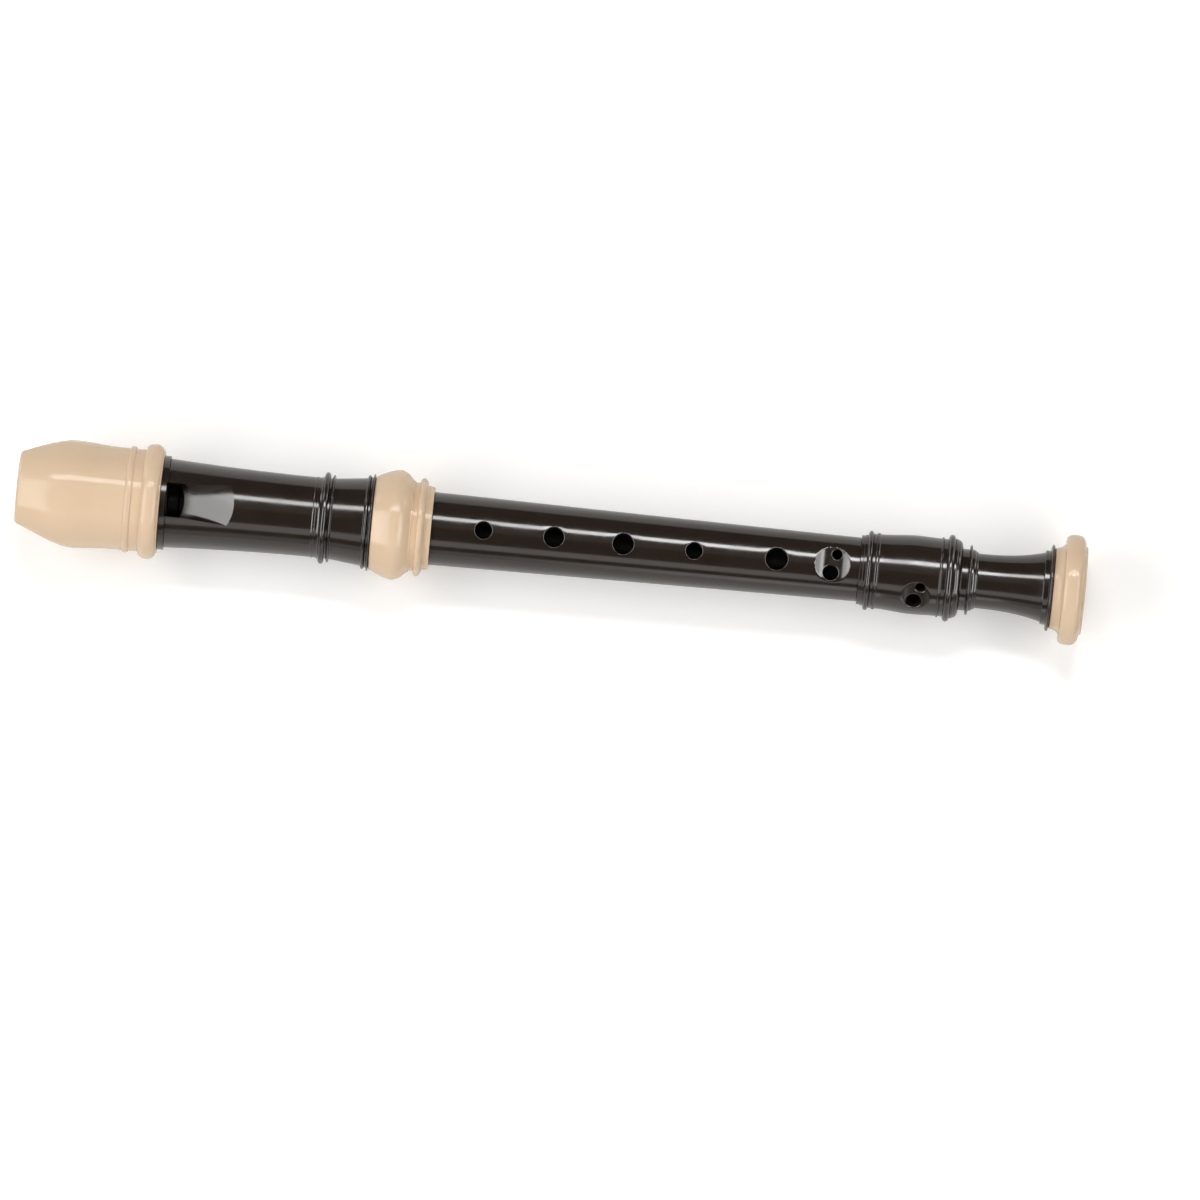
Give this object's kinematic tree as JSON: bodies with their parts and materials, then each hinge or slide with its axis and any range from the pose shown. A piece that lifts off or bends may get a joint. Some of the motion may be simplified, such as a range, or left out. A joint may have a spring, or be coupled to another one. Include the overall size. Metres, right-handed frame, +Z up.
{
  "type": "sopranino recorder",
  "caption": "Small moulded recorder that comes apart at two tenons, with a capped mouthpiece, an arched window ramp, scooped twin holes and pale rings.",
  "frame": {"origin": "middle of the length and width, on the surface that the recorder lies on", "axes": "+X along the bore towards the bell end, +Z up through the finger holes"},
  "size_m": [0.25, 0.027, 0.0269],
  "materials": {
    "ivory": "polished ivory-coloured moulded plastic",
    "dark": "polished brown-black moulded plastic"
  },
  "bodies": {
    "middle": {"middle_joint": "dark"},
    "head_ring": {"socket_ring": "ivory"},
    "head": {"head_barrel": "dark", "windway_sleeve": "dark", "block": "dark", "beak_cap": "ivory"},
    "foot_ring": {"bell_ring": "ivory"},
    "foot": {"foot_joint": "dark"}
  },
  "joints": [
    {"name": "head_slide", "type": "slide", "parent": "middle", "child": "head_ring", "axis": [-1, 0, 0], "range_m": [0, 0.02]},
    {"name": "head_twist", "type": "hinge", "parent": "head_ring", "child": "head", "pos_m": [-0.035, 0, 0.01345], "axis": [1, 0, 0], "continuous": true},
    {"name": "foot_slide", "type": "slide", "parent": "middle", "child": "foot_ring", "axis": [1, 0, 0], "range_m": [0, 0.013]},
    {"name": "foot_twist", "type": "hinge", "parent": "foot_ring", "child": "foot", "pos_m": [0.12, 0, 0.01345], "axis": [1, 0, 0], "continuous": true}
  ]
}
